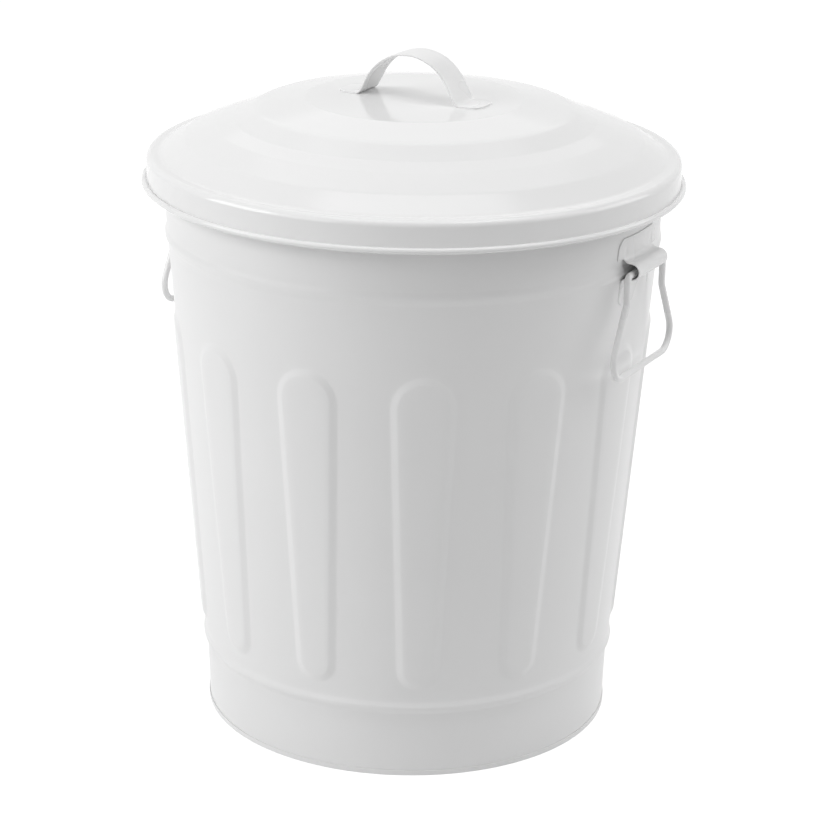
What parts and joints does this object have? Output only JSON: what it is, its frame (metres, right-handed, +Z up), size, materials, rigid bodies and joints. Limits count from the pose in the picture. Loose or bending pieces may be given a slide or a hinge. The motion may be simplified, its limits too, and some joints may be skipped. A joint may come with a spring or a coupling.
{
  "type": "lidded metal bin",
  "caption": "Tapered round sheet-metal bin with pressed flutes, a domed lift-off lid with a strap handle, and a swinging wire bail on each side.",
  "frame": {"origin": "centre of the foot ring, on the floor", "axes": "+Z up, +X towards the right handle, front towards -Y"},
  "size_m": [0.4104, 0.4104, 0.52],
  "materials": {
    "body_coat": "white powder coat, semi-gloss",
    "pan_coat": "white powder coat, semi-gloss",
    "bracket_coat": "white powder coat, semi-gloss",
    "bail_coat": "white powder coat, semi-gloss",
    "lid_coat": "white powder coat, semi-gloss",
    "lid_handle_coat": "white powder coat, semi-gloss",
    "core_wire": "bare drawn steel wire, sealed inside the rolled edges"
  },
  "bodies": {
    "bin": {"body_shell": "body_coat", "top_rim_wire": "core_wire", "bottom_pan": "pan_coat", "bracket_right": "bracket_coat", "bracket_left": "bracket_coat"},
    "lid": {"lid_shell": "lid_coat", "lid_rim_wire": "core_wire", "lid_handle": "lid_handle_coat"},
    "bail_right": {"bail_right": "bail_coat"},
    "bail_left": {"bail_left": "bail_coat"}
  },
  "joints": [
    {"name": "lid_lift", "type": "slide", "parent": "bin", "child": "lid", "axis": [0, 0, 1], "range_m": [0, 0.25]},
    {"name": "bail_right_swing", "type": "hinge", "parent": "bin", "child": "bail_right", "pos_m": [0.1928, 0, 0.3821], "axis": [0, -1, 0], "range_deg": [-5, 155]},
    {"name": "bail_left_swing", "type": "hinge", "parent": "bin", "child": "bail_left", "pos_m": [-0.1928, 0, 0.3821], "axis": [0, 1, 0], "range_deg": [-5, 155]}
  ]
}
